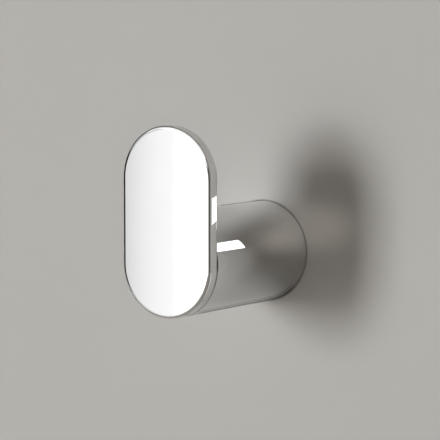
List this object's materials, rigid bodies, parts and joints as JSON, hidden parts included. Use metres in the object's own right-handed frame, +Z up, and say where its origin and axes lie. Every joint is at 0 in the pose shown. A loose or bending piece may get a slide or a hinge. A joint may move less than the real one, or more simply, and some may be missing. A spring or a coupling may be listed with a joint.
{
  "type": "robe hook",
  "caption": "Wall-mounted chrome robe hook: a pill-shaped plate standing up from the end of a round post, with a concealed bush, screw and plug fixing.",
  "frame": {"origin": "centre of the post's wall end, on the wall's surface", "axes": "+Y along the post into the wall, so the hook stands out along -Y; +Z up; +X to the right as seen from the room"},
  "size_m": [0.028, 0.079, 0.0507],
  "materials": {
    "chrome": "mirror polished plating",
    "steel": "machined stainless",
    "brass": "turned, unplated",
    "zinc_steel": "zinc plated",
    "nylon": "moulded nylon"
  },
  "bodies": {
    "root": {"front_plate": "chrome", "post": "chrome", "plate_screw": "steel", "locating_pin": "steel", "wall_bush": "brass", "grub_screw": "steel", "wall_screw": "zinc_steel", "wall_plug": "nylon"}
  },
  "joints": []
}
